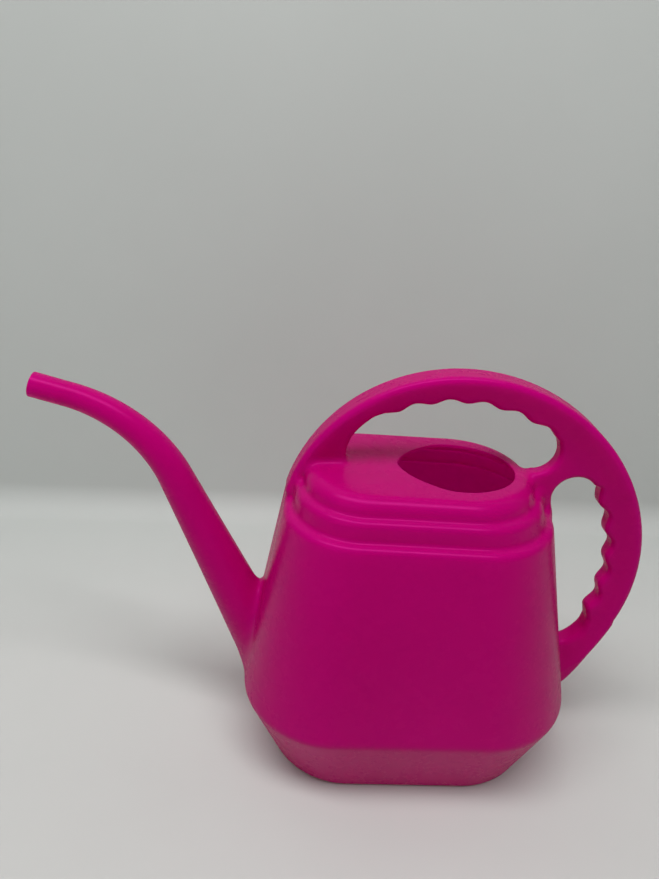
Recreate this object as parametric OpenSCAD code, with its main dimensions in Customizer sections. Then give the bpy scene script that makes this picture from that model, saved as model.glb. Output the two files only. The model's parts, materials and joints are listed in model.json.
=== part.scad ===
// One-gallon watering can with a stepped top, a long curved spout and a full-hoop handle.
// It stands on the XY plane: spout towards -X, handle towards +X, mirror-symmetric about Y = 0.
// Every node is one region of the hollow moulding, and neighbouring regions meet face to face.

/* [Tank] */
// Height of the waist, the widest line of the tank
waist_z = 56; // [50:1:62]
// Height of the deck at the middle of its length
deck_z = 211; // [206:1:216]
// Height of the lower ledge, where the tank wall ends
shoulder_z = 187; // [183:1:190]
// Height of the ledge between the two steps
ledge_z = 200; // [198:1:202]
// Half of the waist's width, front to back
waist_half_w = 79; // [74:1:84]
// Half of the base's width
base_half_w = 61; // [57:1:65]
// Half of the tank's width at the shoulder edge
shoulder_half_w = 60; // [58:1:62]
// Setback of each ledge from the edge below it
ledge_w = 6; // [5:0.5:6.5]
// Radius of the rounded step edges
edge_r = 4; // [3:0.5:4.5]
// Fall of the deck and ledges towards the handle, mm per mm of length
deck_fall = 0.03; // [0:0.005:0.04]
// Thickness of the tank's wall
wall = 2.2; // [1.6:0.2:2.6]

/* [Mouth] */
// Half-length of the oval filler mouth
mouth_half_l = 36.5; // [32:0.5:37.5]
// Half-width of the filler mouth
mouth_half_w = 31.5; // [27:0.5:33]
// Distance of the mouth's centre from the tank's centre, towards the handle
mouth_x = 21.5; // [18:0.5:22.5]

/* [Spout] */
// Outside radius of the spout's straight tip
tip_r = 7.5; // [7:0.25:8]
// Length of the straight tip
tip_l = 21; // [17:1:23]
// Radius of the spout's bend, on its centre line
bend_r = 90; // [84:2:96]
// Slope of the tip above level, in degrees
tip_slope = 15.5; // [14:0.5:17]
// Slope of the spout's straight root, in degrees
root_slope = 67.5; // [66:0.5:68]
// Outside radius at the foot of the spout
root_r = 19; // [18:0.5:20]
// Thickness of the spout's wall
spout_wall = 1.6; // [1.2:0.1:1.8]

/* [Handle] */
// Half-width of the handle at its outer edge, front to back
grip_half_w = 10.5; // [9.5:0.5:11.5]
// Half-width of the handle at its inner edge
inner_half_w = 5.5; // [5:0.5:6.5]
// Radial thickness of the top grip at its front end
grip_t = 15.8; // [15:0.2:17]
// Radial thickness of the handle behind the bridge, its thickest stretch
rear_t = 20.8; // [20:0.2:21.4]
// Depth of the top grip's finger grooves, above and below the mean line
top_groove = 1.3; // [0:0.1:1.5]
// Depth of the rear grip's finger grooves
rear_groove = 1.8; // [0:0.1:2]
// Thickness of the handle's wall
grip_wall = 2; // [1.6:0.2:2.4]

/* [Hidden] */
pink = [0.78, 0.03, 0.47];
deep = [0.62, 0.02, 0.36];

ring_n = 40;              // points round a tank section
tube_n = 24;              // points round a spout section
grip_n = 16;              // points round a handle section
mouth_point = 0.2;        // how much narrower than an oval the mouth's spout end is
step_draft = 0.9;         // how far each step's wall leans in over its height
base_shift = 1.2;         // how far the base's middle lies behind the waist's
foot_r = 3;               // rounding of the edge that the can stands on
waist_soft = 4.5;         // height over which the waist turns from band to wall
tip_end = [-230, 0, 255]; // middle of the spout's open end
hoop_c = [30, 148.5];     // middle of the handle's hoop, in X and Z
hoop_a = 115.2;           // short half-axis of the hoop's outer edge
hoop_b = 125.8;           // long half-axis
hoop_turn = 31.8;         // tilt of the hoop's short axis above X, in degrees

// ---------- lofts ----------
function flip(list) = [for (i = [len(list) - 1:-1:0]) list[i]];

// Faces between neighbouring rings of n points; last joins the final ring to the first.
function skin(rings, n, last) =
    [for (i = [0:rings - (last ? 1 : 2)], j = [0:n - 1])
        let (k = (i + 1) % rings, m = (j + 1) % n)
        each [[i * n + j, i * n + m, k * n + m], [i * n + j, k * n + m, k * n + j]]];

// A hollow band: the outer rings go one way and the inner rings come back.
module shell(outer, inner) {
    rings = concat(outer, flip(inner));
    n = len(outer[0]);
    polyhedron(points = [for (r = rings) each r], faces = skin(len(rings), n, true), convexity = 6);
}

// A solid loft with flat ends.
module loft(rings) {
    n = len(rings[0]);
    count = len(rings);
    ends = [[for (j = [n - 1:-1:0]) j], [for (j = [0:n - 1]) (count - 1) * n + j]];
    polyhedron(points = [for (r = rings) each r],
               faces = concat(skin(count, n, false), ends), convexity = 6);
}

// ---------- tank ----------
// How far up the tank a height is: 0 at the waist and below, 1 at the shoulder and above.
function rise(z) = min(1, max(0, (z - waist_z) / (shoulder_z - waist_z)));
// How far up the steps a height is: 0 at the shoulder and below, 1 at the deck.
function step_rise(z) = max(0, (z - shoulder_z) / (deck_z - shoulder_z));
// Half-length minus half-width, and the half-width of the flat, at the spout's end (side -1)
// and the handle's (side 1), where the steps are shorter and rounder. The base's middle lies
// a little further back than the waist's.
function longer(z, side) = z < waist_z ? 30.5 - 1.5 * z / waist_z
    : 29 - 6 * rise(z) - (side > 0 ? 4.5 * step_rise(z) : 0);
function end_flat(z, side) = z < waist_z ? 7 + 11 * z / waist_z
    : side < 0 ? 18 - 3 * rise(z) - 5 * step_rise(z) : 18 - 10 * rise(z) - 4 * step_rise(z);
function centre_x(z) = base_shift * max(0, 1 - z / waist_z);

// Rounded rectangle of half-width w at height z, clockwise as seen from above.
function section(w, z) =
    let (q = ring_n / 4)
    [for (k = [0:3], j = [0:q - 1])
        let (a = -(k * 90 + j * 90 / (q - 1)),
             sx = (k == 0 || k == 3) ? 1 : -1,
             sy = (k == 2 || k == 3) ? 1 : -1,
             cy = end_flat(z, sx), r = w - cy, cx = w + longer(z, sx) - r,
             x = centre_x(z) + sx * cx + r * cos(a), y = sy * cy + r * sin(a))
        [x, y, z - deck_fall * rise(z) * x]];

// Wall points of one step: straight up to its rounded edge, then in to the next ledge.
function step_edge(w, z) = [[w, z - edge_r], [w - 0.3 * edge_r, z - 0.3 * edge_r], [w - edge_r, z]];
function shrink(rows, dz) = [for (p = rows) [p[0] - wall, p[1] - dz]];
function sections(rows) = [for (p = rows) section(p[0], p[1])];

step1_w = shoulder_half_w - ledge_w;
step2_w = step1_w - ledge_w;
deck_w = step2_w - step_draft - edge_r;
pan_rows = [[base_half_w - foot_r, 0], [base_half_w, foot_r * 0.6],
            [waist_half_w - 2.2, waist_z - waist_soft], [waist_half_w, waist_z]];
wall_rows = concat([[waist_half_w, waist_z], [waist_half_w - 0.4, waist_z + waist_soft]],
                   step_edge(shoulder_half_w, shoulder_z), [[step1_w, shoulder_z]]);
lower_rows = concat([[step1_w, shoulder_z]], step_edge(step1_w - step_draft, ledge_z),
                    [[step2_w, ledge_z]]);
upper_rows = concat([[step2_w, ledge_z]], step_edge(step2_w - step_draft, deck_z));
upper_inner = concat(shrink([upper_rows[0], upper_rows[1]], wall), [[deck_w, deck_z - wall]]);

// The tank as one solid block, which trims whatever ends against it.
module tank_block() {
    loft(sections(concat(pan_rows, [for (i = [1:5]) wall_rows[i]],
                         [for (i = [1:4]) lower_rows[i]], [for (i = [1:3]) upper_rows[i]])));
}

module base_floor() {
    color(deep) loft([section(base_half_w - foot_r - wall, 0), section(base_half_w - foot_r - wall, wall)]);
}

module base_pan() {
    color(deep) shell(sections(pan_rows),
                      sections(concat([[base_half_w - foot_r - wall, 0], [base_half_w - foot_r - wall, wall]],
                                      shrink([pan_rows[2], pan_rows[3]], 0))));
}

module tank_wall() {
    inner = concat(shrink([wall_rows[0], wall_rows[1]], 0),
                   shrink([wall_rows[2], wall_rows[4], wall_rows[5]], wall));
    color(pink) difference() {
        shell(sections(wall_rows), sections(inner));
        spout_lumen();
    }
}

module lower_step() {
    color(pink) shell(sections(lower_rows),
                      sections(shrink([lower_rows[0], lower_rows[1], lower_rows[3], lower_rows[4]], wall)));
}

module upper_step() {
    color(pink) shell(sections(upper_rows), sections(upper_inner));
}

module filler_deck() {
    outline = [for (p = section(deck_w, deck_z)) [p[0], p[1]]];
    mouth = [for (i = [0:47])
        let (c = cos(i * 7.5), s = sin(i * 7.5))
        [mouth_x + mouth_half_l * c, mouth_half_w * s * (1 - mouth_point * max(0, -c))]];
    edge = [for (i = [0:len(outline) - 1]) i];
    hole = [for (i = [0:47]) len(outline) + i];
    color(pink) multmatrix([[1, 0, 0, 0], [0, 1, 0, 0], [-deck_fall, 0, 1, deck_z - wall], [0, 0, 0, 1]])
        linear_extrude(height = wall) polygon(points = concat(outline, mouth), paths = [edge, hole]);
}

// ---------- spout ----------
bend_turn = root_slope - tip_slope;
bend_l = bend_r * bend_turn * PI / 180;
root_l = 149;
spout_l = tip_l + bend_l + root_l;
// Place on the spout's centre line, and its slope, at a distance s from the open end.
bend_start = tip_end + tip_l * [cos(tip_slope), 0, -sin(tip_slope)];
bend_middle = bend_start + bend_r * [-sin(tip_slope), 0, -cos(tip_slope)];
bend_end = bend_middle + bend_r * [sin(root_slope), 0, cos(root_slope)];
function slope_at(s) = s < tip_l ? tip_slope
    : min(root_slope, tip_slope + (s - tip_l) / bend_r * 180 / PI);
function spout_point(s) =
    s < tip_l ? tip_end + s * [cos(tip_slope), 0, -sin(tip_slope)]
    : s < tip_l + bend_l ? bend_middle + bend_r * [sin(slope_at(s)), 0, cos(slope_at(s))]
    : bend_end + (s - tip_l - bend_l) * [cos(root_slope), 0, -sin(root_slope)];
function spout_r(s) = tip_r + (root_r - tip_r) * pow(max(0, s - tip_l) / (spout_l - tip_l), 1.25);
function spout_ring(s, inset) =
    [for (j = [0:tube_n - 1])
        let (a = j * 360 / tube_n, r = spout_r(s) - inset, t = slope_at(s))
        spout_point(s) + r * [sin(t) * cos(a), sin(a), cos(t) * cos(a)]];
function spout_rings(s0, s1, steps, inset) =
    [for (i = [0:steps]) spout_ring(s0 + (s1 - s0) * i / steps, inset)];
root_start = tip_l + bend_l + 66;

module spout_lumen() {
    loft(spout_rings(root_start + 10, spout_l + 4, 2, spout_wall));
}

module spout_root() {
    color(pink) difference() {
        shell(spout_rings(root_start, spout_l, 6, 0), spout_rings(root_start, spout_l, 6, spout_wall));
        tank_block();
    }
}

module spout_tube() {
    color(pink) shell(spout_rings(tip_l, root_start, 20, 0), spout_rings(tip_l, root_start, 20, spout_wall));
}

module spout_tip() {
    color(pink) translate(tip_end) rotate([0, 90 + tip_slope, 0]) difference() {
        cylinder(r = tip_r, h = tip_l, $fn = 64);
        translate([0, 0, -1]) cylinder(r = tip_r - spout_wall, h = tip_l + 2, $fn = 64);
    }
}

// ---------- handle ----------
// Outer edge of the hoop at angle a round its ellipse, and the way outward there.
function hoop(a) = hoop_c + [hoop_a * cos(a) * cos(hoop_turn) - hoop_b * sin(a) * sin(hoop_turn),
                             hoop_a * cos(a) * sin(hoop_turn) + hoop_b * sin(a) * cos(hoop_turn)];
function hoop_out(a) =
    let (u = cos(a) / hoop_a, v = sin(a) / hoop_b, l = sqrt(u * u + v * v))
    [(u * cos(hoop_turn) - v * sin(hoop_turn)) / l, (u * sin(hoop_turn) + v * cos(hoop_turn)) / l];

leg_top = 83;          // where the front leg becomes the top grip, in degrees round the hoop
grip_end = 24;         // end of the top grip
rear_start = -5;       // start of the rear grip
rear_end = -53;        // end of the rear grip
groove_pitch = 11.75;  // angle between two finger grooves
bar_edge_r = 3.5;     // radius of the bar's rounded edges
rear_foot_t = 18;    // mean thickness where the rear grip ends

// Mean thickness of the hoop at angle a: thickest at the shoulder, thinner both ways.
function mean_t(a) = a > rear_start
    ? grip_t + (rear_t - grip_t) * min(1, (leg_top - a) / (leg_top - rear_start))
    : rear_t + (rear_foot_t - rear_t) * (a - rear_start) / (rear_end - rear_start);
function hoop_t(a) = mean_t(a)
    + (a >= grip_end ? top_groove * cos((a - leg_top) * 360 / groove_pitch)
       : a <= rear_start ? rear_groove * cos((a - rear_start) * 360 / groove_pitch) : 0);
function hoop_pair(a) = [hoop(a), hoop(a) - hoop_t(a) * hoop_out(a)];

// One handle section between an outer and an inner point: a bar with rounded edges that is
// wide at the outer edge and narrow at the inner one, where the fingers close round it.
function bar_ring(pair, inset) =
    let (mid = (pair[0] + pair[1]) / 2, half = norm(pair[0] - pair[1]) / 2 - inset,
         dir = (pair[0] - pair[1]) / norm(pair[0] - pair[1]),
         r = bar_edge_r - inset / 2, q = grip_n / 4)
    [for (k = [0:3], j = [0:q - 1])
        let (a = k * 90 + j * 90 / (q - 1),
             outer = k == 0 || k == 3,
             w = (outer ? grip_half_w : inner_half_w) - inset,
             u = (outer ? 1 : -1) * (half - r) + r * cos(a),
             v = (k < 2 ? 1 : -1) * (w - r) + r * sin(a),
             p = mid + u * dir)
        [p[0], v, p[1]]];
module bar(pairs) {
    shell([for (p = pairs) bar_ring(p, 0)], [for (p = pairs) bar_ring(p, grip_wall)]);
}
function hoop_pairs(a0, a1, steps) = [for (i = [0:steps]) hoop_pair(a0 + (a1 - a0) * i / steps)];

leg_pairs = [hoop_pair(leg_top), [hoop(93), [-32, 243]], [hoop(103), [-43, 232]],
             [hoop(113), [-47, 220]], [hoop(121), [-46, 208]], [hoop(130), [-46, 190]]];
foot_pairs = [hoop_pair(rear_end), [[141.5, 96], [124, 97]], [[136.5, 83], [120.5, 88]],
              [[130.5, 70], [113, 81]], [[124, 56], [104, 76]], [[116, 43], [96, 68]],
              [[102, 34], [92, 58]]];

// The bridge is a flat web between two round cut-outs: [x, z, radius] of each.
cut_above = [68.5, 223, 13.6];
cut_below = [97.2, 193.2, 14.2];
bridge_half_w = 6;    // half-width of the web, front to back
shoulder_steps = 6;   // stretches of the loft between the two grips
function arc(c, a0, a1, n) =
    [for (i = [0:n]) let (a = a0 + (a1 - a0) * i / n) [c[0] + c[2] * cos(a), c[1] + c[2] * sin(a)]];
bridge_outline = concat(
    arc(cut_above, -110, 20, 12),
    [for (i = [1:4]) hoop_pair(grip_end + (rear_start - grip_end) * i / shoulder_steps)[1]],
    arc(cut_below, 42, 205, 16), [[84.5, 179], [70, 178], [58, 200]]);

module handle_front_leg() {
    color(pink) difference() {
        bar(leg_pairs);
        tank_block();
    }
}

module top_grip() {
    color(pink) bar(hoop_pairs(leg_top, grip_end, 36));
}

module handle_shoulder() {
    color(pink) bar(hoop_pairs(grip_end, rear_start, shoulder_steps));
}

module handle_bridge() {
    color(pink) difference() {
        rotate([90, 0, 0])
            linear_extrude(height = 2 * bridge_half_w, center = true) polygon(bridge_outline);
        tank_block();
    }
}

module rear_grip() {
    color(pink) bar(hoop_pairs(rear_start, rear_end, 30));
}

module handle_foot() {
    color(pink) difference() {
        bar(foot_pairs);
        tank_block();
    }
}

base_floor();
base_pan();
tank_wall();
lower_step();
upper_step();
filler_deck();
spout_root();
spout_tube();
spout_tip();
handle_front_leg();
top_grip();
handle_shoulder();
handle_bridge();
rear_grip();
handle_foot();
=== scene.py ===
# %% [markdown]
# # A stepped watering can, blow-moulded in one piece
# The real can is a single hollow moulding. A hot tube of polyethylene is blown against the two
# halves of a mould, so tank, spout and handle are one continuous skin about two millimetres thick.
# There are no joins to hide: what the eye reads is how softly each form runs into the next.
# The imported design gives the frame, and every length below is in its millimetres until a mesh
# is made, when it is scaled to metres.
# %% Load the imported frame
import json
import math

import bpy
import numpy as np
from mathutils import Matrix, Vector


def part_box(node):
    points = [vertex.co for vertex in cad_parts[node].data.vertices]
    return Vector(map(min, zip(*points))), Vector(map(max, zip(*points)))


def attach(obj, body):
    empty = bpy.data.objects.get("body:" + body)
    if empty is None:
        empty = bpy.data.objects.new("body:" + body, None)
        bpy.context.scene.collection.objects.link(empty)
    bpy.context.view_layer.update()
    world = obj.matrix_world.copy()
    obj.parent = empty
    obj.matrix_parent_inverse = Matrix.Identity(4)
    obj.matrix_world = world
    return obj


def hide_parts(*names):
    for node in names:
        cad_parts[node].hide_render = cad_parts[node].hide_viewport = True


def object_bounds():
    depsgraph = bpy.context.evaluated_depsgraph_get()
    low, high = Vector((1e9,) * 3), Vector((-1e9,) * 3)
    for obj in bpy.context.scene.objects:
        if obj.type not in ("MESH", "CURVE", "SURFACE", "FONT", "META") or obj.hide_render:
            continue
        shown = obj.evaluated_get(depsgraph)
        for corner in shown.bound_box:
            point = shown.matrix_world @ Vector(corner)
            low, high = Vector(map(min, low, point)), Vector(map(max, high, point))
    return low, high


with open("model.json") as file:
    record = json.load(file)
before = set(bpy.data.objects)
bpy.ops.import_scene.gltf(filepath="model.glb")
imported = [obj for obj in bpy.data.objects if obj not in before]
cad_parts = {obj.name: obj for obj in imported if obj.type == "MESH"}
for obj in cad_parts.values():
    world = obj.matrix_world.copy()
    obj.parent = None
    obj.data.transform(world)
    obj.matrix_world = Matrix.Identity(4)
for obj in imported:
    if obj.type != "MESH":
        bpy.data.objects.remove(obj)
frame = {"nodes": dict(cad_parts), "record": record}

MM = 0.001            # one millimetre in Blender's metres
cad_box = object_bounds()


def box_mm(node):
    """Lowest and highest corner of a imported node, in millimetres."""
    low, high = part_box(node)
    return np.array(low) / MM, np.array(high) / MM


print("packed box, mm:", *[tuple(round(v / MM, 1) for v in corner) for corner in cad_box])

# %% [markdown]
# ## The tank, as a distance
# A lofted mesh would need its rows of points matched by hand wherever handle and spout join it.
# A distance field needs none of that: it is a formula that says how far any point is from the
# surface, negative inside. Two fields join with a soft minimum, which leaves a fillet, just as
# a toolmaker's cutter leaves one in the corner of a mould.
#
# The tank is one profile carried round a rounded rectangle. `tank_place` finds which profile
# position (half-width, height) a point lies at, and the profile itself is drawn flat.
# %% Dimensions of the tank
wall_low, wall_high = box_mm("tank_wall")
deck_low, deck_high = box_mm("filler_deck")
waist_z = wall_low[2]
waist_half_w = wall_high[1]
deck_fall = 0.03                                  # fall of deck and ledges towards the handle
deck_z = deck_high[2] + deck_fall * deck_low[0]   # deck height at the middle of the can
shoulder_z = deck_z - 24                          # lower ledge
ledge_z = deck_z - 11                             # upper ledge
base_half_w = 61
base_shift = 1.2                                  # the base's middle lies this far behind the waist's
shoulder_half_w = 59.5
crown = 0.8                                       # fall of the deck from its middle line to its sides
step1_w = 54                                      # half-width at the foot of the lower step
step2_w = 48                                      # half-width at the foot of the upper step
deck_w = 39.5                                     # half-width where the flat deck starts
print("waist", waist_z, "deck", round(deck_z, 2), "half-width", waist_half_w)


# %% Where a point lies on the tank's profile
def rise(z):
    """0 at the waist and below, 1 at the shoulder and above."""
    return np.clip((z - waist_z) / (shoulder_z - waist_z), 0, 1)


# Each end, at the base, waist, lower ledge, upper ledge and deck: how much longer than wide the
# tank is, as a half-length, and the half-width of the flat on its end.
levels = (0, waist_z, shoulder_z, ledge_z, deck_z)
spout_end_extra = (31, 29.5, 23.4, 23, 23)
spout_end_flat = (7, 18, 15, 12, 10)
handle_end_extra = (30.2, 28.5, 22.5, 20.6, 18.2)
handle_end_flat = (7, 18, 8, 5, 4)


def tank_place(p):
    """Half-width of the section through each point, and its height as if the deck were level."""
    x, y, z = p.T
    x = x - base_shift * np.clip(1 - z / waist_z, 0, 1)
    by_spout = x < 0
    flat = np.where(by_spout, np.interp(z, levels, spout_end_flat),
                    np.interp(z, levels, handle_end_flat))
    extra = np.where(by_spout, np.interp(z, levels, spout_end_extra),
                     np.interp(z, levels, handle_end_extra))
    along = np.abs(x) - extra - flat
    across = np.abs(y) - flat
    outside = np.hypot(np.maximum(along, 0), np.maximum(across, 0))
    reach = flat + outside + np.minimum(np.maximum(along, across), 0)
    on_top = np.clip((z - ledge_z) / (deck_z - ledge_z), 0, 1)
    return reach, z + deck_fall * rise(z) * x + crown * on_top * (y / step2_w) ** 2


# %% [markdown]
# ## Flat charts
# The profile, and later the handle's outline, are closed outlines with rounded corners. The
# distance to an outline takes hundreds of small sums, so each is worked out once on a fine flat
# grid, a chart, softened by a hair, and read back between the grid's lines.
# %% Outlines and charts
CHART_STEP = 0.5
CHART_SOFTEN = 3      # passes of a 1-2-1 average, which soften a corner by about half a millimetre


def rounded(corners, arc_step=7):
    """Turns (u, v, radius) corners into an outline whose corners are arcs."""
    outline = []
    for i, (u, v, radius) in enumerate(corners):
        here = np.array((u, v), float)
        back = np.array(corners[i - 1][:2]) - here
        ahead = np.array(corners[(i + 1) % len(corners)][:2]) - here
        back /= np.linalg.norm(back)
        ahead /= np.linalg.norm(ahead)
        half = math.acos(np.clip(back @ ahead, -1, 1)) / 2
        middle = here + (back + ahead) / np.linalg.norm(back + ahead) * radius / math.sin(half)
        first = here + back * radius / math.tan(half) - middle
        last = here + ahead * radius / math.tan(half) - middle
        turn = math.pi - 2 * half
        count = max(2, round(math.degrees(turn) / arc_step))
        for t in np.linspace(0, 1, count + 1):
            mix = math.sin((1 - t) * turn) * first + math.sin(t * turn) * last
            outline.append(middle + mix / math.sin(turn))
    return np.array(outline)


def signed_distance(outline, u, v):
    """Distance of points (u, v) from a closed outline, negative inside."""
    nearest = np.full(u.shape, np.inf)
    inside = np.zeros(u.shape, bool)
    for a, b in zip(outline, np.roll(outline, -1, axis=0)):
        du, dv = b - a
        if du == 0 and dv == 0:
            continue
        t = np.clip(((u - a[0]) * du + (v - a[1]) * dv) / (du * du + dv * dv), 0, 1)
        nearest = np.minimum(nearest, (u - a[0] - t * du) ** 2 + (v - a[1] - t * dv) ** 2)
        if dv:
            inside ^= ((a[1] > v) != (b[1] > v)) & (u < a[0] + (v - a[1]) * du / dv)
    return np.where(inside, -1, 1) * np.sqrt(nearest)


def soften(values):
    """One 1-2-1 average along both directions of a chart."""
    for axis in (0, 1):
        padded = np.pad(values, [(1, 1) if a == axis else (0, 0) for a in (0, 1)], "edge")
        low, high = np.split(padded, [2], axis)[1], np.split(padded, [-2], axis)[0]
        values = (low + 2 * values + high) / 4
    return values


def make_chart(distance, low, high):
    """Works distance(u, v) out on a flat grid from low to high."""
    lines = [np.arange(a, b, CHART_STEP) for a, b in zip(low, high)]
    values = distance(*np.meshgrid(*lines, indexing="ij"))
    for _ in range(CHART_SOFTEN):
        values = soften(values)
    return low, values


def read_chart(chart, u, v):
    """Reads a chart at any points, straight between its grid lines."""
    low, values = chart
    s = np.clip((u - low[0]) / CHART_STEP, 0, values.shape[0] - 1.001)
    t = np.clip((v - low[1]) / CHART_STEP, 0, values.shape[1] - 1.001)
    i, j = s.astype(int), t.astype(int)
    s, t = s - i, t - j
    near = values[i, j] * (1 - t) + values[i, j + 1] * t
    far = values[i + 1, j] * (1 - t) + values[i + 1, j + 1] * t
    return near * (1 - s) + far * s


# %% The tank's profile
# (half-width, height, corner radius), from the underside round to the deck.
MIDDLE = -60          # past the tank's middle, so that the profile never closes inside it
tank_profile = rounded([
    (MIDDLE, 1.5, 0), (47, 1.5, 3), (51, 0, 3), (base_half_w - 0.6, 0, 3.5),
    (waist_half_w + 0.2, waist_z + 1, 12), (shoulder_half_w, shoulder_z, 4.5),
    (step1_w, shoulder_z, 2.4), (step1_w - 0.9, ledge_z, 4.2), (step2_w, ledge_z, 2.4),
    (step2_w - 0.9, deck_z, 8), (MIDDLE, deck_z, 0)])
tank_chart = make_chart(lambda u, v: signed_distance(tank_profile, u, v), (-2, -12), (100, 225))


def tank_field(p):
    return read_chart(tank_chart, *tank_place(p))


print("tank profile:", len(tank_profile), "points")

# %% [markdown]
# ## The spout
# The spout is a round tube that widens towards the tank along a line, a bend and a line, like a
# swan's neck. Its field is the distance to that centre line less the tube's radius there.
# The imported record's own mount gives the open end: its place, its direction and its radius.
# %% The spout's centre line
tip_mount = next(m for m in frame["record"]["mounts"] if m["name"] == "spout_outside")
tip_out = np.array(tip_mount["axis"])[[0, 2]]     # in the mould's plane, X and Z
tip_r = tip_mount["dims"]["r_mm"]
tip_l = tip_mount["dims"]["length_mm"]
tip_slope = math.asin(tip_out[1])
root_slope = math.radians(67.5)
root_r = 19
bend_r = 90
root_l = 149
bend_l = bend_r * (root_slope - tip_slope)
spout_l = tip_l + bend_l + root_l
root_start = tip_l + bend_l + 66                  # where the tube becomes the flared root
flare_power = 1.25                                # how late the tube widens
inner_end_round = 12                              # rounding of the end that is hidden in the tank
PAST_TIP = 5          # the field runs past the open end, which is cut off cleanly later

tip_inward = -tip_out
bend_start = np.array(tip_mount["pos_m"])[[0, 2]] / MM + tip_inward * tip_l / 2
root_inward = np.array((math.cos(root_slope), -math.sin(root_slope)))
bend_middle = bend_start - bend_r * np.array((math.sin(tip_slope), math.cos(tip_slope)))
bend_end = bend_middle + bend_r * np.array((math.sin(root_slope), math.cos(root_slope)))


def along_spout(p):
    """Distance from the open end along the centre line, and distance off the line."""
    x, y, z = p.T
    turn = np.arctan2(x - bend_middle[0], z - bend_middle[1])
    tip_s = tip_l + (x - bend_start[0]) * tip_inward[0] + (z - bend_start[1]) * tip_inward[1]
    tip_off = (z - bend_start[1]) * tip_inward[0] - (x - bend_start[0]) * tip_inward[1]
    root_s = tip_l + bend_l + (x - bend_end[0]) * root_inward[0] + (z - bend_end[1]) * root_inward[1]
    root_off = (z - bend_end[1]) * root_inward[0] - (x - bend_end[0]) * root_inward[1]
    bend_s = tip_l + bend_r * (turn - tip_slope)
    bend_off = np.hypot(x - bend_middle[0], z - bend_middle[1]) - bend_r
    s = np.where(turn < tip_slope, tip_s, np.where(turn > root_slope, root_s, bend_s))
    off = np.where(turn < tip_slope, tip_off, np.where(turn > root_slope, root_off, bend_off))
    return s, np.hypot(off, y)


def soft_min(a, b, reach):
    """The smaller of two distances, with a fillet where they are about equal."""
    overlap = np.maximum(reach - np.abs(a - b), 0) / reach
    return np.minimum(a, b) - overlap * overlap * reach / 4


def spout_field(p):
    s, off = along_spout(p)
    grown = np.clip((s - tip_l) / (spout_l - tip_l), 0, 1.1) ** flare_power
    tube = off - (tip_r + (root_r - tip_r) * grown)
    capped = -soft_min(-tube, -(s - spout_l), inner_end_round)
    return np.maximum(capped, -PAST_TIP - s)


print("spout length, mm:", round(spout_l, 1))

# %% [markdown]
# ## The handle
# Seen from the side, the handle is a hoop with two openings. Its outer edge is one tilted ellipse
# from the front of the deck to the back wall. Inside it, two rails carry shallow finger grooves,
# which a cosine gives, and a bridge between two round cut-outs ties the hoop to the deck.
# The outline becomes a chart like the tank's profile, and is then given its width. The bar is
# wide at its outer edge and narrow at its inner one, so that a hand closes round it easily.
# %% The hoop
hoop_middle = np.array((30, 148.5))
hoop_a, hoop_b = 115.2, 125.8         # half-axes of the hoop's outer edge
hoop_turn = math.radians(31.8)        # tilt of the first half-axis
hoop_u = np.array((math.cos(hoop_turn), math.sin(hoop_turn)))
hoop_v = np.array((-math.sin(hoop_turn), math.cos(hoop_turn)))
leg_top, grip_end, rear_start, rear_end = 83, 24, -5, -53     # degrees round the hoop
groove_pitch = 11.75                  # degrees from one finger groove to the next
top_groove, rear_groove = 1.3, 1.8
grip_t, rear_t, foot_t = 15.3, 20.4, 18.8                     # thickness at three places
outer_half_w, inner_half_w = 10.4, 5.5                        # half-width at either edge
narrowing_l = 19                      # depth over which the bar narrows from outer to inner edge
narrowing_ease = 8                    # how gently the narrowing ends
outer_round, inner_round = 4.2, 2.8   # how far its edges are rounded
leg_slimmer = 1.0                     # how much narrower the leg is at the deck


def hoop_edge(angle):
    """Points on the hoop's outer edge, and the way outward there."""
    c, s = np.cos(np.radians(angle)), np.sin(np.radians(angle))
    point = hoop_middle + np.outer(hoop_a * c, hoop_u) + np.outer(hoop_b * s, hoop_v)
    out = np.outer(c / hoop_a, hoop_u) + np.outer(s / hoop_b, hoop_v)
    return point, out / np.linalg.norm(out, axis=1)[:, None]


def mean_thickness(angle):
    """Thickness of the hoop without its grooves: thickest between the two grips."""
    return np.interp(angle, [rear_end, rear_start, leg_top], [foot_t, rear_t, grip_t])


def rail(first, last):
    """The hoop's grooved inner edge between two angles."""
    angle = np.linspace(first, last, max(2, round(abs(last - first))) + 1)
    top = top_groove * np.cos(2 * math.pi * (angle - leg_top) / groove_pitch)
    rear = rear_groove * np.cos(2 * math.pi * (angle - rear_start) / groove_pitch)
    groove = np.where(angle >= grip_end, top, rear)
    point, out = hoop_edge(angle)
    return point - out * (mean_thickness(angle) + groove)[:, None]


def arc(middle, radius, first, last):
    """Points along a circle, between two angles in degrees."""
    angle = np.radians(np.linspace(first, last, int(abs(last - first) / 7) + 2))
    return np.array(middle) + radius * np.column_stack((np.cos(angle), np.sin(angle)))


def eased(points, pieces=6):
    """A smooth curve through a few points (Catmull-Rom)."""
    p = np.array(points, float)
    p = np.vstack((2 * p[0] - p[1], p, 2 * p[-1] - p[-2]))
    curve = []
    for a, b, c, d in zip(p, p[1:], p[2:], p[3:]):
        for t in np.linspace(0, 1, pieces, endpoint=False):
            curve.append(b + t * (c - a) / 2 + t * t * (a - 2.5 * b + 2 * c - d / 2)
                         + t ** 3 * (1.5 * (b - c) + (d - a) / 2))
    return np.array(curve + [p[-2]])


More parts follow.
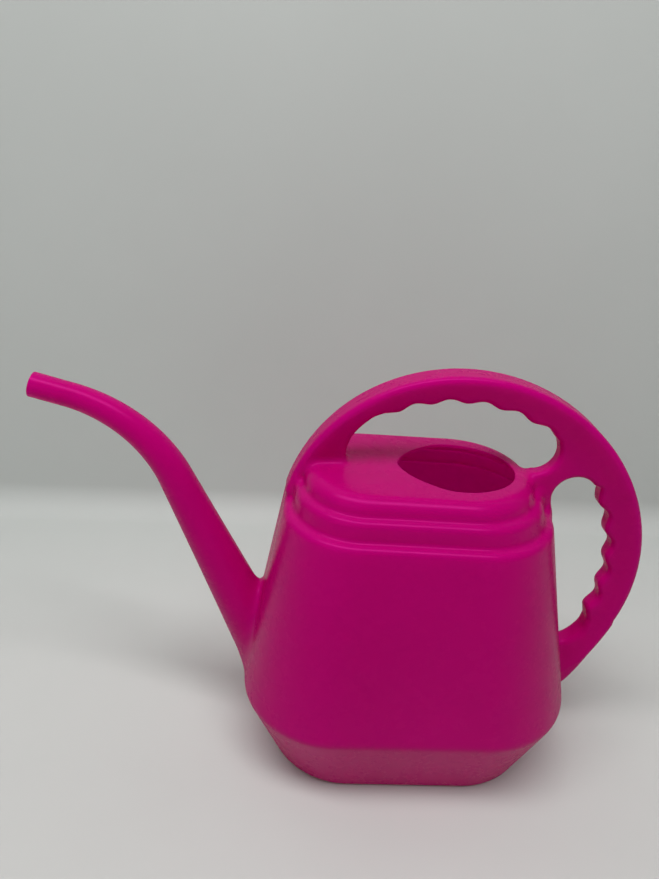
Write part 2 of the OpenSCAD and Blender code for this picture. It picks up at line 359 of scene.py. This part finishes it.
# %% The handle's outline and its two openings
# The outline is closed well inside the tank, so that nothing of it shows under the deck.
hoop_outline = np.vstack((
    hoop_edge(np.arange(129, rear_end - 1, -2))[0],
    eased([hoop_edge(np.array([rear_end]))[0][0], (141.5, 96), (136.5, 83), (130.5, 70),
           (124, 56), (116.5, 44), (106, 36)]),
    [(90, 42), (86, 60), (78, 160), (50, 182), (-62, 182), (-74, 178)]))
top_opening = np.vstack((
    rail(leg_top, grip_end),
    arc((69, 223), 13.6, 20, -90),
    [(60, 196), (-47, 194)],
    eased([(-47, 213), (-46.4, 222), (-43.8, 229.8), (-40, 235.6), (-35.4, 240.3), (-31, 243.8),
           (-25.5, 246)])))
rear_opening = np.vstack((
    rail(rear_start + groove_pitch / 2, rear_end),
    eased([(124.8, 98), (122.6, 89), (114.7, 80.5), (104, 77), (94, 74)]),
    [(88, 100), (84, 160), (84.5, 172), (83.4, 185)],
    arc((97.2, 193.2), 14.2, 190, 38)))


def handle_outline(u, v):
    solid = signed_distance(hoop_outline, u, v)
    return np.maximum(solid, -np.minimum(signed_distance(top_opening, u, v),
                                         signed_distance(rear_opening, u, v)))


handle_chart = make_chart(handle_outline, (-112, 10), (162, 290))
leg_middle, leg_spread = (-66, 208), 30     # where the leg is slimmer, and how far round it


def hoop_place(p):
    """Angle round the hoop in degrees, and depth inside its outer edge."""
    x, z = p[:, 0] - hoop_middle[0], p[:, 2] - hoop_middle[1]
    u = (x * hoop_u[0] + z * hoop_u[1]) / hoop_a
    v = (x * hoop_v[0] + z * hoop_v[1]) / hoop_b
    scale = np.maximum(np.hypot(u, v), 0.01)
    return np.degrees(np.arctan2(v, u)), (1 / scale - 1) * np.hypot(x, z)


def handle_field(p):
    x, y, z = p.T
    depth = np.maximum(hoop_place(p)[1], 0)
    t = soft_min(depth, narrowing_l, narrowing_ease) / narrowing_l
    leg = np.exp(-((x - leg_middle[0]) ** 2 + (z - leg_middle[1]) ** 2) / leg_spread ** 2)
    half_w = outer_half_w - (outer_half_w - inner_half_w) * t - leg_slimmer * leg
    edge_round = outer_round - (outer_round - inner_round) * t
    face = read_chart(handle_chart, x, z) + edge_round
    side = np.abs(y) - half_w + edge_round
    outside = np.hypot(np.maximum(face, 0), np.maximum(side, 0))
    return outside + np.minimum(np.maximum(face, side), 0) - edge_round


print("handle outline:", len(hoop_outline) + len(top_opening) + len(rear_opening), "points")

# %% [markdown]
# ## The whole can as one field
# The fillets are small where the leg meets the deck, and larger at the bridge and where the
# spout grows out of the tank. The slope of the field gives the exact surface direction
# at any point, so the finished meshes are shaded from the formula and not from their facets.
# %% One field, its slope, and a way onto its surface
LEG_FILLET, BRIDGE_FILLET = 5.5, 9
SPOUT_FILLET = 9
SLOPE_STEP = 0.4


def can_field(p):
    fillet = np.interp(p[:, 0], (0, 60), (LEG_FILLET, BRIDGE_FILLET))
    body = soft_min(tank_field(p), handle_field(p), fillet)
    return soft_min(body, spout_field(p), SPOUT_FILLET)


def slope(rule, p):
    """How fast a rule changes along X, Y and Z at each point."""
    parts = []
    for axis in np.eye(3) * SLOPE_STEP:
        parts.append((rule(p + axis) - rule(p - axis)) / (2 * SLOPE_STEP))
    return np.column_stack(parts)


def onto_surface(p, passes=2):
    """Moves points straight along the field's slope until they lie on the can's surface."""
    for _ in range(passes):
        way = slope(can_field, p)
        p = p - way * (can_field(p) / np.maximum((way * way).sum(axis=1), 0.05))[:, None]
    return p


def outward(p):
    way = slope(can_field, p)
    return way / np.linalg.norm(way, axis=1)[:, None]


# %% [markdown]
# ## From field to skin
# A surface net turns the field into a mesh: wherever the surface passes through a small cube of
# space it gets one point, and neighbouring points are joined into four-sided faces. The points are
# then slid onto the exact surface and evened out along it. The can is the same on both sides of
# the mould's parting plane, so only one half of space is measured and then mirrored.
# %% The surface net
NET_STEP = 1.6        # side of the cubes
EVENING_PASSES = 6    # rounds of sliding points towards the middle of their neighbours


def measure_space():
    """The field at every corner of the cubes, as an array, with the place of its first corner."""
    margin = 3 * NET_STEP
    low = np.array([v / MM for v in cad_box[0]]) - margin
    high = np.array([v / MM for v in cad_box[1]]) + margin
    x = np.arange(low[0] - PAST_TIP, high[0], NET_STEP)
    y = np.arange(NET_STEP / 2, high[1], NET_STEP)
    z = np.arange(low[2], high[2], NET_STEP)
    values = np.empty((len(x), len(y), len(z)))
    flat_y, flat_z = (a.ravel() for a in np.meshgrid(y, z, indexing="ij"))
    for i, x_here in enumerate(x):
        p = np.column_stack((np.full(len(flat_y), x_here), flat_y, flat_z))
        values[i] = can_field(p).reshape(len(y), len(z))
    both = np.concatenate((values[:, ::-1], values), axis=1)
    return both, np.array((x[0], -y[-1], z[0]))


def surface_net(values, low):
    """Points and four-sided faces of the surface where the values change sign."""
    inside = values < 0
    cells = tuple(n - 1 for n in values.shape)
    count = np.zeros(cells, np.int8)
    steps = [(i, j, k) for i in (0, 1) for j in (0, 1) for k in (0, 1)]
    for i, j, k in steps:
        count += inside[i:i + cells[0], j:j + cells[1], k:k + cells[2]]
    cell = np.argwhere((count > 0) & (count < 8))
    number = np.full(cells, -1, np.int64)
    number[tuple(cell.T)] = np.arange(len(cell))
    total, hits = np.zeros((len(cell), 3)), np.zeros(len(cell))
    for a in steps:
        for b in steps:
            if sum(b) - sum(a) != 1 or any(q < p for p, q in zip(a, b)):
                continue
            va, vb = values[tuple((cell + a).T)], values[tuple((cell + b).T)]
            crossed = (va < 0) != (vb < 0)
            t = np.where(crossed, va / np.where(crossed, va - vb, 1), 0)[:, None]
            total += np.where(crossed[:, None], np.array(a) + t * (np.array(b) - np.array(a)), 0)
            hits += crossed
    points = low + (cell + total / hits[:, None]) * NET_STEP
    faces = []
    for axis in range(3):
        one, two = (axis + 1) % 3, (axis + 2) % 3
        here, ahead = [slice(None)] * 3, [slice(None)] * 3
        here[axis], ahead[axis] = slice(0, -1), slice(1, None)
        for side in (one, two):
            here[side] = ahead[side] = slice(1, -1)
        here, ahead = inside[tuple(here)], inside[tuple(ahead)]
        for outward_first in (True, False):
            edge = np.argwhere(here & ~ahead if outward_first else ahead & ~here)
            edge[:, one] += 1
            edge[:, two] += 1
            ring = []
            for d1, d2 in ((1, 1), (0, 1), (0, 0), (1, 0)):
                c = edge.copy()
                c[:, one] -= d1
                c[:, two] -= d2
                ring.append(number[tuple(c.T)])
            faces.append(np.column_stack(ring if outward_first else ring[::-1]))
    return points, np.vstack(faces)


def evened(points, faces):
    """Slides each point towards the middle of its neighbours, keeping it on the surface."""
    a = np.concatenate([faces[:, i] for i in range(4)])
    b = np.concatenate([faces[:, (i + 1) % 4] for i in range(4)])
    links = np.bincount(a, minlength=len(points)) + np.bincount(b, minlength=len(points))
    for _ in range(EVENING_PASSES):
        sums = [np.bincount(a, points[b, i], len(points)) + np.bincount(b, points[a, i], len(points))
                for i in range(3)]
        middle = np.column_stack(sums) / links[:, None]
        points = onto_surface(points + 0.5 * (middle - points), 1)
    return onto_surface(points)


values, first_corner = measure_space()
points, quads = surface_net(values, first_corner)
points = evened(points, quads)
print("net:", len(points), "points,", len(quads), "faces")

# %% [markdown]
# ## Marking out the regions
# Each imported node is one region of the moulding, so the skin is divided along the same lines: the
# waist, the two ledges, the edge of the deck, the fillets round spout and handle, and rings across
# the tube and the hoop. Dividing by whole faces would leave saw-toothed borders. Instead a
# rule that is zero along the wanted line slides the nearest points onto it, and splits the
# edges that still cross it. Neighbouring regions keep the same points, so no gap can open.
# %% Cutting the skin along a line
SLIDE = 0.38 * NET_STEP      # free points this near to a line are slid onto it
ON_LINE = 0.12               # points of an earlier line this near count as on the new line too
OPEN = "open"                # the name of what is cut away

shorter = (np.linalg.norm(points[quads[:, 0]] - points[quads[:, 2]], axis=1)
           < np.linalg.norm(points[quads[:, 1]] - points[quads[:, 3]], axis=1))
faces = np.vstack((quads[shorter][:, [0, 1, 2]], quads[shorter][:, [0, 2, 3]],
                   quads[~shorter][:, [0, 1, 3]], quads[~shorter][:, [1, 2, 3]]))
skin = {"points": points, "faces": faces, "names": np.full(len(faces), "tank_wall", "U20"),
        "fixed": np.zeros(len(points), bool)}


def slide_to_line(used, rule):
    """Slides free points that are near the line onto it, and returns the rule at every used point."""
    p = skin["points"][used]
    value = rule(p)
    way = slope(rule, p)
    normal = outward(p)
    way -= (way * normal).sum(axis=1)[:, None] * normal
    steep = np.maximum((way * way).sum(axis=1), 1e-6)
    off = np.abs(value) / np.sqrt(steep)
    on_line = skin["fixed"][used] & (off < ON_LINE)
    moving = ~skin["fixed"][used] & (off < SLIDE)
    moved = p[moving] - way[moving] * (value[moving] / steep[moving])[:, None]
    for _ in range(3):
        moved = onto_surface(moved, 1)
        again = slope(rule, moved)
        moved -= again * (rule(moved) / np.maximum((again * again).sum(axis=1), 1e-6))[:, None]
    skin["points"][used[moving]] = moved
    skin["fixed"][used[moving]] = True
    value[moving | on_line] = 0
    return value


def split_edges(pairs, value):
    """Adds a point where each marked edge meets the line, and returns {edge code: its number}."""
    a, b = pairs.T
    t = (value[a] / (value[a] - value[b]))[:, None]
    new = onto_surface(skin["points"][a] * (1 - t) + skin["points"][b] * t)
    first = len(skin["points"])
    skin["points"] = np.vstack((skin["points"], new))
    skin["fixed"] = np.append(skin["fixed"], np.ones(len(new), bool))
    return np.arange(first, first + len(new))


def cut(old, new, rule, near=None):
    """Divides region old along rule(p) = 0. The part where the rule is negative becomes new."""
    mine = skin["names"] == old
    if near is not None:
        mine &= near(skin["points"][skin["faces"]].mean(axis=1))
    used = np.unique(skin["faces"][mine])
    value = np.zeros(len(skin["points"]))
    value[used] = slide_to_line(used, rule)
    f = skin["faces"]
    ends = np.sort(np.stack((f, np.roll(f, -1, axis=1)), axis=2), axis=2)
    code = ends[:, :, 0] * len(value) + ends[:, :, 1]
    crossing = mine[:, None] & (value[ends[:, :, 0]] * value[ends[:, :, 1]] < 0)
    marked = np.unique(code[crossing])
    number = split_edges(np.column_stack(np.divmod(marked, len(value))), value)
    value = np.append(value, np.zeros(len(number)))
    place = np.minimum(np.searchsorted(marked, code), max(len(marked) - 1, 0))
    hit = marked[place] == code if len(marked) else np.zeros(code.shape, bool)
    middle = np.where(hit, number[place], -1) if len(marked) else np.full(code.shape, -1)
    hits = hit.sum(axis=1)
    out_faces, out_names, out_mine = [f[hits == 0]], [skin["names"][hits == 0]], [mine[hits == 0]]
    for count in (1, 2):
        group = hits == count
        g, m, names, own = f[group], middle[group], skin["names"][group], mine[group]
        # turn each face so that its one split edge, or its one whole edge, runs from corner 1 to 2
        lone = np.argmax(hit[group] if count == 1 else ~hit[group], axis=1)
        order = (lone[:, None] + np.array((-1, 0, 1))) % 3
        a, b, c = np.take_along_axis(g, order, axis=1).T
        ab, bc, ca = np.take_along_axis(m, order, axis=1).T
        if count == 1:
            parts = [(a, b, bc), (a, bc, c)]
        else:
            parts = [(a, ab, ca), (ab, b, c), (ab, c, ca)]
        for part in parts:
            out_faces.append(np.column_stack(part))
            out_names.append(names)
            out_mine.append(own)
    f, names, mine = np.vstack(out_faces), np.concatenate(out_names), np.concatenate(out_mine)
    side = np.sign(value[f]).sum(axis=1)
    unsure = mine & (side == 0)
    if unsure.any():
        side[unsure] = rule(skin["points"][f[unsure]].mean(axis=1))
    names[mine & (side < 0)] = new
    skin["faces"], skin["names"] = f, names


# %% The lines between regions
BRIDGE_START = 2.5    # how far past the rails' mean inner edge the bridge starts
FLOOR_INSET = 5.2     # how far inside the base's half-width the recessed floor starts


def height_above(z):
    return lambda p: p[:, 2] - z


def crease(half_w, z):
    """Zero on the cone that halves the corner between a ledge and the step above it."""
    def rule(p):
        reach, height = tank_place(p)
        return (reach - half_w) - (height - z)
    return rule


def reach_past(half_w):
    return lambda p: tank_place(p)[0] - half_w


def spout_past(s):
    return lambda p: along_spout(p)[0] - s


def hoop_past(angle):
    """Zero across the hoop at an angle; about in millimetres, so that sliding works."""
    return lambda p: np.radians(angle - hoop_place(p)[0]) * hoop_b


def short_of_bridge(p):
    """Zero along a line just inside the shoulder, where the bridge starts."""
    angle, depth = hoop_place(p)
    return mean_thickness(angle) + BRIDGE_START - depth


def by_bridge(p):
    angle = hoop_place(p)[0]
    return (angle > -30) & (angle < 60)


mouth_x = 21.5
mouth_half_l, mouth_half_w = 36.5, 31.7
mouth_point = 0.35    # how much lower than an oval's 2 the power is at the spout end


def mouth_edge(p):
    """An oval that is a little more pointed at its spout end."""
    x = (p[:, 0] - mouth_x) / mouth_half_l
    y = p[:, 1] / mouth_half_w
    power = 2 - mouth_point * np.clip(-x / 0.5, 0, 1)
    return ((np.abs(x) ** power + np.abs(y) ** power) ** (1 / power) - 1) * mouth_half_w


cut("tank_wall", "spout_root", lambda p: spout_field(p) - tank_field(p))
cut("tank_wall", "handle_foot", lambda p: handle_field(p) - tank_field(p))
cut("tank_wall", "base_pan", height_above(waist_z))
cut("base_pan", "base_floor", reach_past(base_half_w - FLOOR_INSET))
cut("tank_wall", "lower_step", crease(step1_w, shoulder_z))
cut("lower_step", "upper_step", crease(step2_w, ledge_z))
cut("upper_step", "filler_deck", reach_past(deck_w))
cut("filler_deck", OPEN, mouth_edge)
cut("spout_root", "spout_tube", spout_past(root_start))
cut("spout_tube", "spout_tip", spout_past(tip_l))
cut("spout_tip", OPEN, spout_past(0))
cut("handle_foot", "handle_bridge", short_of_bridge, by_bridge)
cut("handle_foot", "rear_grip", hoop_past(rear_end))
cut("rear_grip", "handle_shoulder", hoop_past(rear_start))
cut("handle_shoulder", "top_grip", hoop_past(grip_end))
cut("top_grip", "handle_front_leg", hoop_past(leg_top))
for name in sorted(set(skin["names"])):
    print(f"{name:18}", (skin["names"] == name).sum(), "faces")

# %% [markdown]
# ## From skin to wall
# A real moulding has thickness, and it shows at the mouth and at the spout's cut end. Each region is
# given an inner face along the surface direction, so it becomes a closed shell that meets its
# neighbours wall to wall, as wide open inside as the hollow can. Where a knife has cut
# the moulding open, the edge is scraped slightly round, so it gets a small bulge and catches light.
# %% One closed shell from one region
WALL, GRIP_WALL, SPOUT_WALL = 2.2, 2.0, 1.6
BULGE = 0.5           # how far a scraped edge stands out
BULGE_ROWS = 6
THINNING = 14         # distance from the tank over which the wall thins to the spout's or grip's
open_rules = {"filler_deck": mouth_edge, "spout_tip": spout_past(0)}

skin_normals = outward(skin["points"])
away = np.clip(tank_field(skin["points"]) / THINNING, 0, 1)
thin = np.where(spout_field(skin["points"]) < handle_field(skin["points"]), SPOUT_WALL, GRIP_WALL)
skin_wall = WALL - (WALL - thin) * away


def edge_codes(f, points_in_all):
    """A number for each directed edge of the faces, and for the same edge the other way."""
    a, b = f.ravel(), np.roll(f, -1, axis=1).ravel()
    return a * points_in_all + b, b * points_in_all + a


def rounded_rim(edges, region, p, n, wall):
    """Rows of points and normals that round a cut edge over from the outer to the inner face."""
    rule = open_rules[region]
    rim = np.unique(edges)
    way = -slope(rule, p[rim])
    way -= (way * n[rim]).sum(axis=1)[:, None] * n[rim]
    way /= np.linalg.norm(way, axis=1)[:, None]
    half = wall[rim][:, None] / 2
    rows, normals = [], []
    for phi in np.linspace(0, math.pi, BULGE_ROWS + 1):
        rows.append(p[rim] - n[rim] * half * (1 - math.cos(phi)) + way * BULGE * math.sin(phi))
        normal = way * math.sin(phi) / BULGE + n[rim] * math.cos(phi) / half
        normals.append(normal / np.linalg.norm(normal, axis=1)[:, None])
    return rim, rows, normals


def shell_piece(region):
    """The closed mesh of one region, in metres, shaded from the field's own slope."""
    size = len(skin["points"])
    mine = skin["names"] == region
    f = skin["faces"][mine]
    forward, backward = edge_codes(f, size)
    border = ~np.isin(backward, forward)
    open_forward = edge_codes(skin["faces"][skin["names"] == OPEN], size)[0]
    free = np.isin(backward[border], open_forward)
    used, local = np.unique(f, return_inverse=True)
    f = local.reshape(-1, 3)
    edges = np.column_stack((f.ravel(), np.roll(f, -1, axis=1).ravel()))[border]
    p, n, wall = skin["points"][used], skin_normals[used], skin_wall[used]
    count = len(used)
    inner = p - n * wall[:, None]
    places = [p, inner]
    sides = [f, f[:, ::-1] + count]
    normals = [n[f].reshape(-1, 3), -n[f[:, ::-1]].reshape(-1, 3)]
    a, b = edges[~free].T
    sides.append(np.column_stack((b, a, a + count, b + count)))
    flat = np.cross(p[a] - p[b], inner[a] - p[a])
    flat /= np.maximum(np.linalg.norm(flat, axis=1), 1e-9)[:, None]
    normals.append(np.repeat(flat, 4, axis=0))
    if free.any():
        rim, rows, row_normals = rounded_rim(edges[free], region, p, n, wall)
        a, b = (np.searchsorted(rim, e) for e in edges[free].T)
        number = [rim]
        for i in range(BULGE_ROWS - 1):
            number.append((2 * count + i * len(rim)) + np.arange(len(rim)))
        number.append(rim + count)
        places += rows[1:-1]
        for i in range(BULGE_ROWS):
            up, down = number[i], number[i + 1]
            sides.append(np.column_stack((up[b], up[a], down[a], down[b])))
            quad = np.stack((row_normals[i][b], row_normals[i][a], row_normals[i + 1][a],
                             row_normals[i + 1][b]), axis=1)
            normals.append(quad.reshape(-1, 3))
    mesh = bpy.data.meshes.new(region)
    corners = [side for block in sides for side in block.tolist()]
    mesh.from_pydata((np.vstack(places) * MM).tolist(), [], corners)
    mesh.shade_smooth()
    mesh.normals_split_custom_set(np.vstack(normals).tolist())
    piece = bpy.data.objects.new("moulded_" + region, mesh)
    bpy.context.collection.objects.link(piece)
    return piece


# %% All the shells
shells = {}
for region in frame["nodes"]:
    piece = shell_piece(region)
    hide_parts(region)
    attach(piece, "root")
    shells[region] = piece
    print(f"{piece.name:26}", len(piece.data.polygons), "faces")

# %% [markdown]
# ## Magenta polyethylene
# The plastic is coloured all through and a little waxy: a saturated magenta with a soft gloss.
# Blown parts are never quite even. The colour drifts slightly over a hand's width, the mould's
# fine blasting leaves an orange peel about a millimetre across, and the skin has long, low waves
# that make the highlights wander. A thin raised line runs along the parting plane, where the
# mould's halves met. All of it comes from noise in the object's own millimetres, so it runs
# on unbroken from one region to the next.
# %% Node helpers
def add(tree, kind, inputs=None, **settings):
    """Adds a node; inputs are values, or sockets to link from."""
    node = tree.nodes.new(kind)
    for key, value in settings.items():
        setattr(node, key, value)
    for key, value in (inputs or {}).items():
        if isinstance(value, bpy.types.NodeSocket):
            tree.links.new(value, node.inputs[key])
        else:
            node.inputs[key].default_value = value
    return node


def new_material(name):
    material = bpy.data.materials.new(name)
    material.use_nodes = True
    return material, material.node_tree, material.node_tree.nodes["Principled BSDF"]


def spread(tree, value, low, high):
    """Maps a noise value, which keeps near a half, onto a range."""
    return add(tree, "ShaderNodeMapRange", {"Value": value, "From Min": 0.3, "From Max": 0.7,
                                            "To Min": low, "To Max": high}).outputs["Result"]


# %% The plastic
deep_magenta = (0.61, 0.0002, 0.235, 1)
bright_magenta = (0.67, 0.0004, 0.265, 1)
gloss_tint = (1.0, 0.09, 0.62, 1)     # the face-on gloss takes the pigment's colour
let_through = (1.0, 0.0003, 0.62, 1)  # light that crosses the two-millimetre wall


def magenta_plastic(name):
    material, tree, shader = new_material(name)
    place = add(tree, "ShaderNodeTexCoord").outputs["Object"]
    drift = add(tree, "ShaderNodeTexNoise", {"Vector": place, "Scale": 11.0, "Detail": 3.0})
    peel = add(tree, "ShaderNodeTexNoise", {"Vector": place, "Scale": 950.0, "Detail": 2.0})
    wave = add(tree, "ShaderNodeTexNoise", {"Vector": place, "Scale": 38.0, "Detail": 1.0})
    smear = add(tree, "ShaderNodeTexNoise", {"Vector": place, "Scale": 70.0, "Detail": 6.0,
                                             "Roughness": 0.65})
    colour = add(tree, "ShaderNodeMix", data_type="RGBA")
    tree.links.new(spread(tree, drift.outputs["Fac"], 0.0, 1.0), colour.inputs["Factor"])
    for socket in colour.inputs:
        if socket.type == "RGBA" and socket.name == "A":
            socket.default_value = deep_magenta
        if socket.type == "RGBA" and socket.name == "B":
            socket.default_value = bright_magenta
    result = next(s for s in colour.outputs if s.type == "RGBA")
    tree.links.new(result, shader.inputs["Base Color"])
    tree.links.new(spread(tree, smear.outputs["Fac"], 0.23, 0.31), shader.inputs["Roughness"])
    sideways = add(tree, "ShaderNodeSeparateXYZ", {"Vector": place}).outputs["Y"]
    off_plane = add(tree, "ShaderNodeMath", {0: sideways}, operation="ABSOLUTE").outputs[0]
    line = add(tree, "ShaderNodeMapRange", {"Value": off_plane, "From Min": 0.0, "From Max": 0.0006,
                                            "To Min": 1.0, "To Max": 0.0},
               interpolation_type="SMOOTHSTEP").outputs["Result"]
    waved = add(tree, "ShaderNodeBump", {"Height": wave.outputs["Fac"], "Strength": 0.12,
                                         "Distance": 0.0025})
    peeled = add(tree, "ShaderNodeBump", {"Height": peel.outputs["Fac"], "Strength": 0.06,
                                          "Distance": 0.0002, "Normal": waved.outputs["Normal"]})
    parted = add(tree, "ShaderNodeBump", {"Height": line, "Strength": 0.5, "Distance": 0.00012,
                                          "Normal": peeled.outputs["Normal"]})
    tree.links.new(parted.outputs["Normal"], shader.inputs["Normal"])
    shader.inputs["IOR"].default_value = 1.52
    shader.inputs["Specular IOR Level"].default_value = 0.42
    shader.inputs["Specular Tint"].default_value = gloss_tint
    glow = add(tree, "ShaderNodeBsdfTranslucent", {"Color": let_through})
    mixed = add(tree, "ShaderNodeMixShader", {"Fac": 0.48})
    tree.links.new(shader.outputs[0], mixed.inputs[1])
    tree.links.new(glow.outputs[0], mixed.inputs[2])
    tree.links.new(mixed.outputs[0], tree.nodes["Material Output"].inputs["Surface"])
    return material


plastic = magenta_plastic("magenta_polyethylene")
for piece in shells.values():
    piece.data.materials.append(plastic)
print("plastic on", len(shells), "shells")

# %% [markdown]
# ## Floor, backdrop and light
# A plain pale sheet lies under the can and turns up behind it in a soft fold. Its upright part
# shows only from the front: from behind it is clear, so that the can is seen from every side.
# One long soft light hangs overhead, a little in front of the can. It draws bright lines along the
# step edges, the spout's crest and the handle, and leaves the front wall deep. A weak wash from
# the front left and an even room light lift the shadows.
# %% The sheet
FOLD_Y = 0.277        # where the sheet turns up, behind the can's middle
FOLD_R = 0.03
SHEET_HALF = 2.0
SHEET_TOP = 1.9
SHEET_FRONT = -1.6
SHEET_BACK = 2.0
PAINTED_SHADE_START = 0.04    # painted shade: the sheet is painted slightly greyer between these two distances along it, towards the fold and up the backdrop
PAINTED_SHADE_END = 0.33


def make_sheet(name, line):
    """A smooth sheet whose side view is a line of (y, z) points."""
    points = [(x, y, z) for y, z in line for x in (-SHEET_HALF, SHEET_HALF)]
    faces = [(2 * i, 2 * i + 1, 2 * i + 3, 2 * i + 2) for i in range(len(line) - 1)]
    mesh = bpy.data.meshes.new(name)
    mesh.from_pydata(points, [], faces)
    mesh.shade_smooth()
    sheet = bpy.data.objects.new(name, mesh)
    bpy.context.collection.objects.link(sheet)
    return sheet


def sheet_material():
    material, tree, shader = new_material("pale_sheet")
    place = add(tree, "ShaderNodeTexCoord").outputs["Object"]
    mottle = add(tree, "ShaderNodeTexNoise", {"Vector": place, "Scale": 4.0, "Detail": 4.0})
    ramp = add(tree, "ShaderNodeValToRGB", {"Fac": mottle.outputs["Fac"]})
    ramp.color_ramp.elements[0].position = 0.3
    ramp.color_ramp.elements[0].color = (0.60, 0.60, 0.585, 1)
    ramp.color_ramp.elements[1].position = 0.7
    ramp.color_ramp.elements[1].color = (0.63, 0.63, 0.615, 1)
    split = add(tree, "ShaderNodeSeparateXYZ", {"Vector": place})
    along = add(tree, "ShaderNodeMath", {0: split.outputs["Y"], 1: split.outputs["Z"]}).outputs[0]
    # Painted shade: the sheet's colour is multiplied down from white to a slightly cool grey along
    # its length, so it is darker at the fold and on the upright backdrop
    painted_shade = add(tree, "ShaderNodeValToRGB", {"Fac": add(tree, "ShaderNodeMapRange", {
        "Value": along, "From Min": PAINTED_SHADE_START, "From Max": PAINTED_SHADE_END}).outputs["Result"]})
    painted_shade.color_ramp.elements[0].color = (1, 1, 1, 1)
    painted_shade.color_ramp.elements[1].color = (0.93, 0.97, 0.96, 1)
    both = add(tree, "ShaderNodeVectorMath", {0: ramp.outputs["Color"], 1: painted_shade.outputs["Color"]},
               operation="MULTIPLY")
    tree.links.new(both.outputs["Vector"], shader.inputs["Base Color"])
    shader.inputs["Roughness"].default_value = 0.6
    shader.inputs["Specular IOR Level"].default_value = 0.25
    behind = add(tree, "ShaderNodeNewGeometry").outputs["Backfacing"]
    shown = add(tree, "ShaderNodeMixShader", {"Fac": behind})
    tree.links.new(shader.outputs[0], shown.inputs[1])
    tree.links.new(add(tree, "ShaderNodeBsdfTransparent").outputs[0], shown.inputs[2])
    tree.links.new(shown.outputs[0], tree.nodes["Material Output"].inputs["Surface"])
    return material


fold_turn = np.radians(np.linspace(0, 90, 13))
fold = [(FOLD_Y - FOLD_R + FOLD_R * math.sin(a), FOLD_R - FOLD_R * math.cos(a)) for a in fold_turn]
sheet = make_sheet("sheet", [(SHEET_FRONT, 0), *fold, (FOLD_Y, SHEET_TOP)])
rear_floor = make_sheet("rear_floor", [(FOLD_Y, 0), (SHEET_BACK, 0)])
paper = sheet_material()
for part in (sheet, rear_floor):
    part.data.materials.append(paper)


# %% The lights
def area_light(name, place, aim, size, power):
    light = bpy.data.lights.new(name, "AREA")
    light.shape = "RECTANGLE"
    light.size, light.size_y = size
    light.energy = power
    lamp = bpy.data.objects.new(name, light)
    lamp.location = place
    lamp.rotation_mode = "QUATERNION"
    lamp.rotation_quaternion = (Vector(aim) - Vector(place)).to_track_quat("-Z", "Y")
    bpy.context.collection.objects.link(lamp)


area_light("overhead", (-0.12, -0.42, 1.55), (0, 0, 0.1), (1.6, 0.4), 19.4)
area_light("front_wash", (-0.9, -1.4, 0.8), (0, 0.1, 0.1), (0.9, 0.9), 1.7)

ROOM_LIGHT = 0.2      # what the room gives as light
ROOM_SHOWN = 0.6      # how bright the room is where it shows past the sheet
world = bpy.data.worlds.new("room")
bpy.context.scene.world = world
world.use_nodes = True
room_tree = world.node_tree
background = room_tree.nodes["Background"]
background.inputs["Color"].default_value = (0.80, 0.83, 0.82, 1)
direct = add(room_tree, "ShaderNodeLightPath").outputs["Is Camera Ray"]
strength = add(room_tree, "ShaderNodeMapRange", {"Value": direct, "To Min": ROOM_LIGHT,
                                                 "To Max": ROOM_SHOWN})
room_tree.links.new(strength.outputs["Result"], background.inputs["Strength"])
bpy.context.scene.view_settings.view_transform = "Standard"

# %% [markdown]
# ## Camera
# The camera stands in front, a little left of the can's middle, and looks down on it from
# about forty centimetres up with a wide lens, as a hand-held close view does.
# %% The camera
EYE = Vector((-66.74, -359.07, 396.33)) * MM
YAW, PITCH, ROLL = math.radians(1.56), math.radians(25.39), math.radians(2.55)
LENS = 27.03          # on a frame 36 mm tall

ahead = Vector((math.sin(YAW) * math.cos(PITCH), math.cos(YAW) * math.cos(PITCH), -math.sin(PITCH)))
level = Vector((math.cos(YAW), -math.sin(YAW), 0))
upright = level.cross(ahead)
right = math.cos(ROLL) * level + math.sin(ROLL) * upright
top = math.cos(ROLL) * upright - math.sin(ROLL) * level
camera = bpy.data.objects.new("camera", bpy.data.cameras.new("camera"))
camera.data.lens = LENS
camera.data.sensor_width = 36
camera.data.clip_start = 0.01
camera.matrix_world = Matrix((right, top, -ahead)).transposed().to_4x4()
camera.location = EYE
bpy.context.collection.objects.link(camera)
bpy.context.scene.camera = camera
print("camera at", tuple(round(v, 3) for v in EYE))
